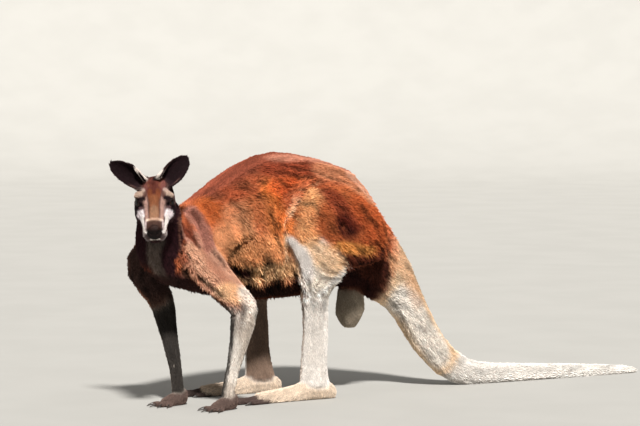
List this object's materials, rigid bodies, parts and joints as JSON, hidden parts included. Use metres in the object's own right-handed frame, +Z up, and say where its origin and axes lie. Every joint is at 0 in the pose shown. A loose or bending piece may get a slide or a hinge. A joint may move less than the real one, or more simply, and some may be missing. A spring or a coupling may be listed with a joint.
{
  "type": "kangaroo",
  "caption": "Adult male red kangaroo standing with its forepaws, feet and tail on the ground and its head turned to its left.",
  "frame": {"origin": "on the ground, under the middle of the whole animal's box", "axes": "+Z up, -X towards the head end, +Y towards the animal's right side, with the tail laid along +X"},
  "size_m": [1.8832, 0.5076, 0.74],
  "materials": {
    "rust_fur": "woolly rust-red fur",
    "tan_fur": "short pinkish-grey fur",
    "pale_fur": "short cream fur",
    "grey_fur": "short dark grey fur",
    "face_fur": "very short tan and white fur",
    "ear_fur": "thin dark fur",
    "bare_skin": "thinly furred skin",
    "nose_skin": "damp, finely grained skin",
    "eye": "wet and glossy",
    "claw": "worn horn"
  },
  "bodies": {
    "root": {"trunk": "rust_fur", "tail_base": "pale_fur", "tail_middle": "pale_fur", "tail_end": "pale_fur", "scrotum": "bare_skin", "neck": "grey_fur", "head": "face_fur", "lower_jaw": "pale_fur", "nose": "nose_skin", "left_eye": "eye", "left_ear": "ear_fur", "left_upper_arm": "tan_fur", "left_forearm": "pale_fur", "left_forepaw": "grey_fur", "left_finger_claw_1": "claw", "left_finger_claw_2": "claw", "left_finger_claw_3": "claw", "left_finger_claw_4": "claw", "left_finger_claw_5": "claw", "left_thigh": "rust_fur", "left_shank": "pale_fur", "left_hind_foot": "pale_fur", "left_fourth_toe": "grey_fur", "left_fourth_claw": "claw", "left_fifth_toe": "grey_fur", "left_fifth_claw": "claw", "left_second_third_toe": "grey_fur", "left_second_claw": "claw", "left_third_claw": "claw", "right_eye": "eye", "right_ear": "ear_fur", "right_upper_arm": "tan_fur", "right_forearm": "pale_fur", "right_forepaw": "grey_fur", "right_finger_claw_1": "claw", "right_finger_claw_2": "claw", "right_finger_claw_3": "claw", "right_finger_claw_4": "claw", "right_finger_claw_5": "claw", "right_thigh": "rust_fur", "right_shank": "pale_fur", "right_hind_foot": "pale_fur", "right_fourth_toe": "grey_fur", "right_fourth_claw": "claw", "right_fifth_toe": "grey_fur", "right_fifth_claw": "claw", "right_second_third_toe": "grey_fur", "right_second_claw": "claw", "right_third_claw": "claw"}
  },
  "joints": []
}
